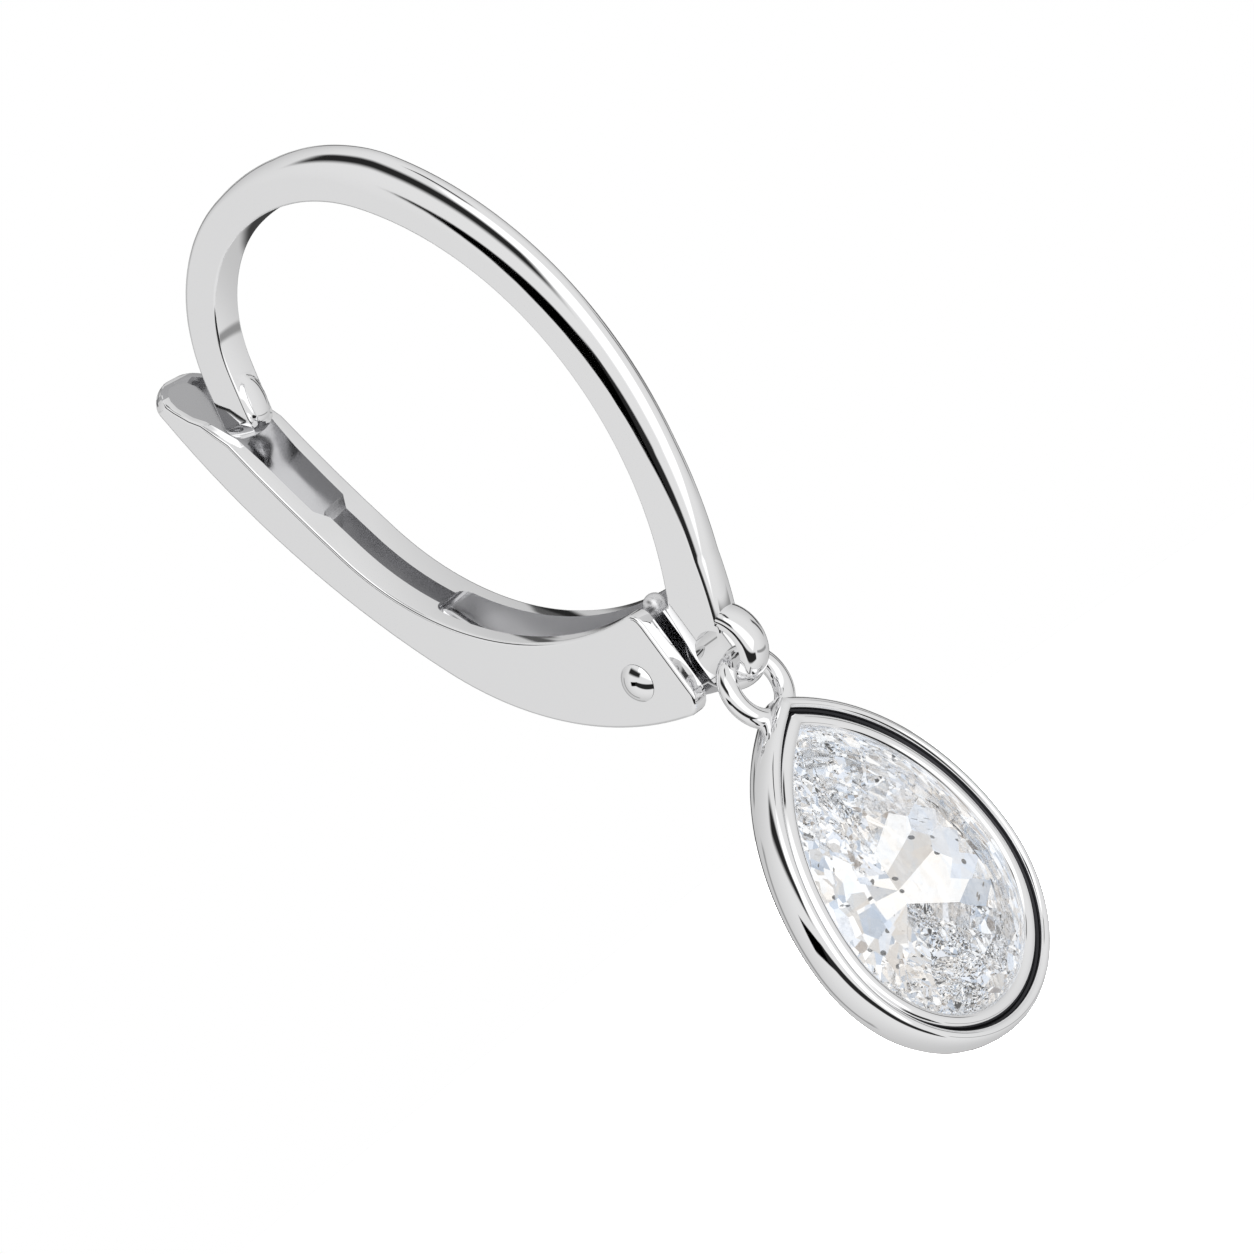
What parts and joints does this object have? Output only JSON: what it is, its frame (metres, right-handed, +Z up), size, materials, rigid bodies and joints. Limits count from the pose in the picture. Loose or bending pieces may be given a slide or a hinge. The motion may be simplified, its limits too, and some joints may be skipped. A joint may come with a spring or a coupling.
{
  "type": "leverback earring",
  "caption": "Leverback earring: a hooked ear wire closed by a hinged channel lever, with a pear stone in a bezel hanging from a loop.",
  "frame": {"origin": "seat for the ear lobe: the top of the hoop's inner face, midway across the wire", "axes": "+X towards the front of the earring, which the stone faces, +Z up as worn, Y across the wire"},
  "size_m": [0.0138, 0.0078, 0.0281],
  "materials": {
    "polished_metal": "mirror polished white precious metal",
    "clear_stone": "faceted and polished, colourless"
  },
  "bodies": {
    "wire": {"ear_wire": "polished_metal"},
    "lever": {"lever": "polished_metal", "hinge_pin": "polished_metal"},
    "drop": {"bezel": "polished_metal", "stone": "clear_stone"}
  },
  "joints": [
    {"name": "lever_hinge", "type": "hinge", "parent": "wire", "child": "lever", "pos_m": [0.00267, 0, -0.01505], "axis": [0, -1, 0], "range_deg": [0, 40]},
    {"name": "drop_swing", "type": "hinge", "parent": "wire", "child": "drop", "pos_m": [0.00481, 0, -0.01595], "axis": [0, -1, 0], "range_deg": [-30, 90]}
  ]
}
